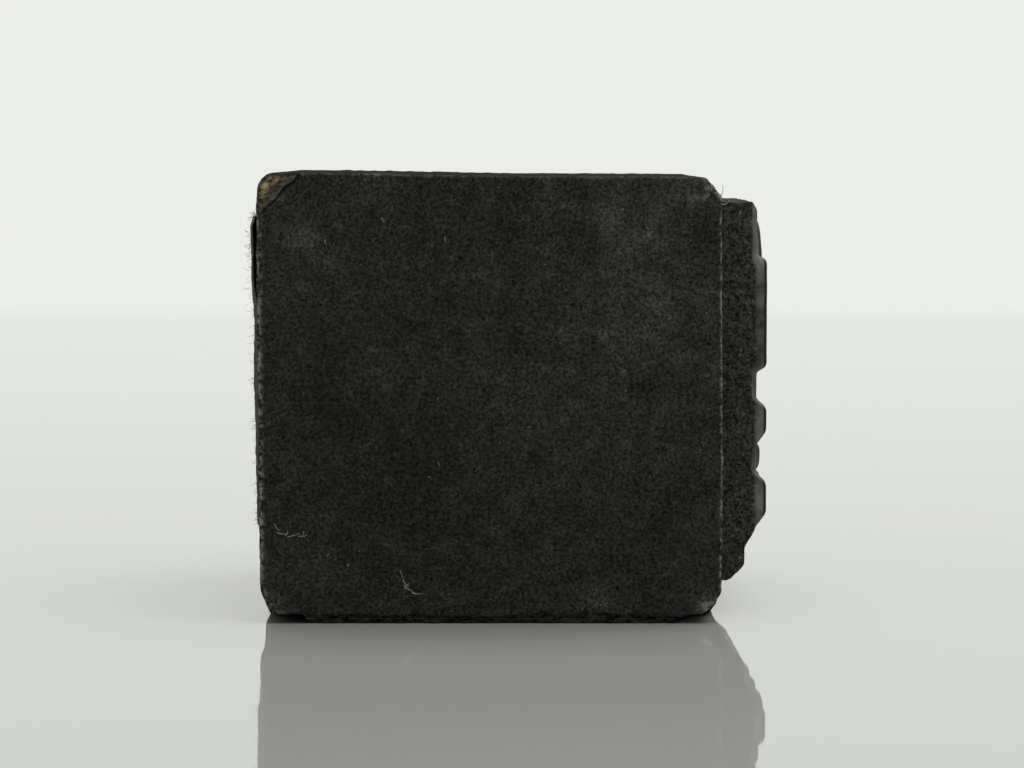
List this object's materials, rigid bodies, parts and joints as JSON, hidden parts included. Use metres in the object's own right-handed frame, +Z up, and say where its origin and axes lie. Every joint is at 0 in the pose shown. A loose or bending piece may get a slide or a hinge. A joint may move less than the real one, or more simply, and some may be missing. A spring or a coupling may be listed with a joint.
{
  "type": "wood-mounted rubber stamp",
  "caption": "Small block-shaped hand stamp: a dark wooden block with a moulded rubber relief glued to one end and a thin paper label on the other.",
  "frame": {"origin": "middle of the block's side that the stamp lies on, midway between the block's two ends", "axes": "+X out of the printing face, +Z up, -Y towards the viewer of the picture"},
  "size_m": [0.0283, 0.0244, 0.0244],
  "materials": {
    "stained_wood": "matte, ink-stained, worn at the corners",
    "rubber_cement": "dull",
    "die_rubber": "matte on the cut edge, satin on the moulded relief",
    "inked_paper": "matte, fibrous at its edges",
    "dried_paste": "dull"
  },
  "bodies": {
    "root": {"mount_block": "stained_wood", "mount_cement": "rubber_cement", "rubber_die": "die_rubber", "index_label": "inked_paper", "label_paste": "dried_paste"}
  },
  "joints": []
}
